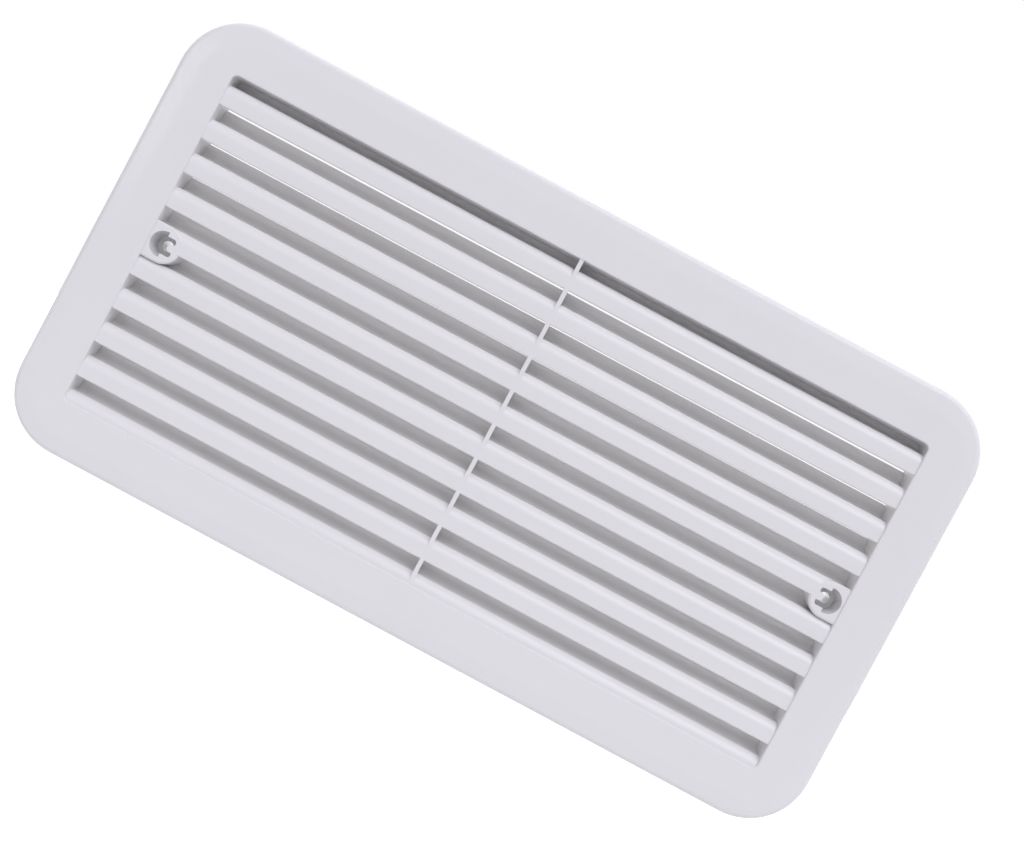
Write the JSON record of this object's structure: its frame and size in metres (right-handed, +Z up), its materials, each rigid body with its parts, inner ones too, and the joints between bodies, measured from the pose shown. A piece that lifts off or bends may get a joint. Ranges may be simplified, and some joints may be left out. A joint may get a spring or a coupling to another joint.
{
  "type": "ventilation grille",
  "caption": "Rectangular louvred wall vent cover with rounded corners, hooded slats tied by a mid rib, and a screw post at each end.",
  "frame": {"origin": "middle of the two screw holes, on the wall plane at the back of the rim, which is also the middle of the outline", "axes": "+X along the slats, to the right as seen from the front; +Z up, with the round tops of the slats upwards; the front faces -Y and the wall is on the +Y side"},
  "size_m": [0.26, 0.014, 0.1386],
  "materials": {
    "white_plastic": "satin moulded white, faintly cool"
  },
  "bodies": {
    "root": {"grille": "white_plastic"}
  },
  "joints": []
}
